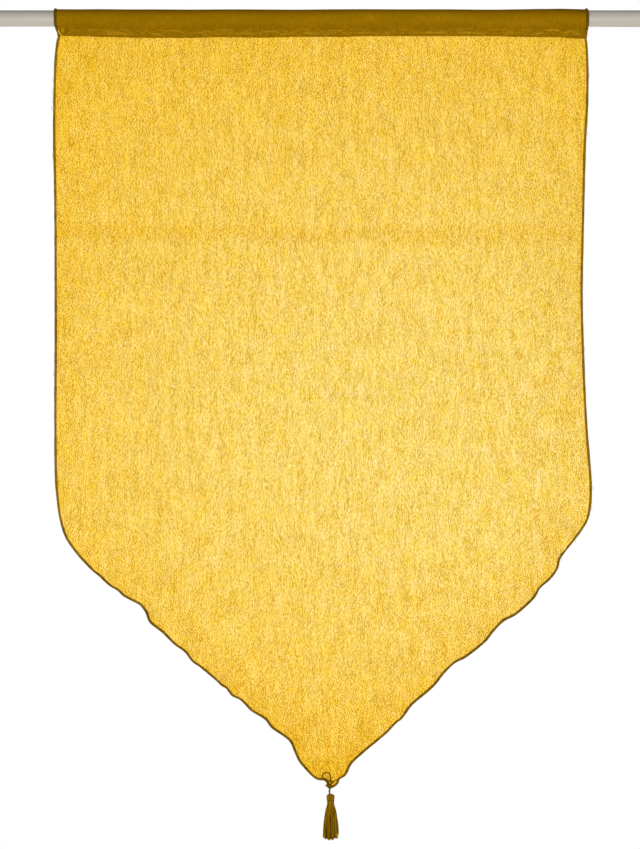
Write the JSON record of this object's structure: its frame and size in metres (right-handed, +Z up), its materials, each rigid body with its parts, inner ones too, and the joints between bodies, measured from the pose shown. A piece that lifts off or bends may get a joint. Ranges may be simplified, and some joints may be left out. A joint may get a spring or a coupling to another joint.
{
  "type": "pointed cafe curtain with its rod",
  "caption": "Sheer cloth panel with a pointed lower edge, hung by a rod pocket from a round rod, with an overlocked edge and a tassel at the point.",
  "frame": {"origin": "on the axis of the rod, above the middle of the curtain's width", "axes": "+X along the rod to the right as seen from the room, +Y away from the room towards the window, +Z up"},
  "size_m": [0.78, 0.0243, 0.9416],
  "materials": {
    "rod_paint": "smooth grey-beige lacquer, satin",
    "heading_cloth": "doubled dark mustard plain weave, matt",
    "sheer_cloth": "sheer yellow slub weave, matt, lets light through",
    "edging_thread": "dark mustard overlock thread, close diagonal stitches",
    "tassel_thread": "dark mustard soft twisted thread"
  },
  "bodies": {
    "root": {"rod": "rod_paint", "heading": "heading_cloth", "mouth_edging_left": "edging_thread", "mouth_edging_right": "edging_thread", "panel": "sheer_cloth", "edging": "edging_thread", "tassel_tie": "tassel_thread", "tassel": "tassel_thread"}
  },
  "joints": []
}
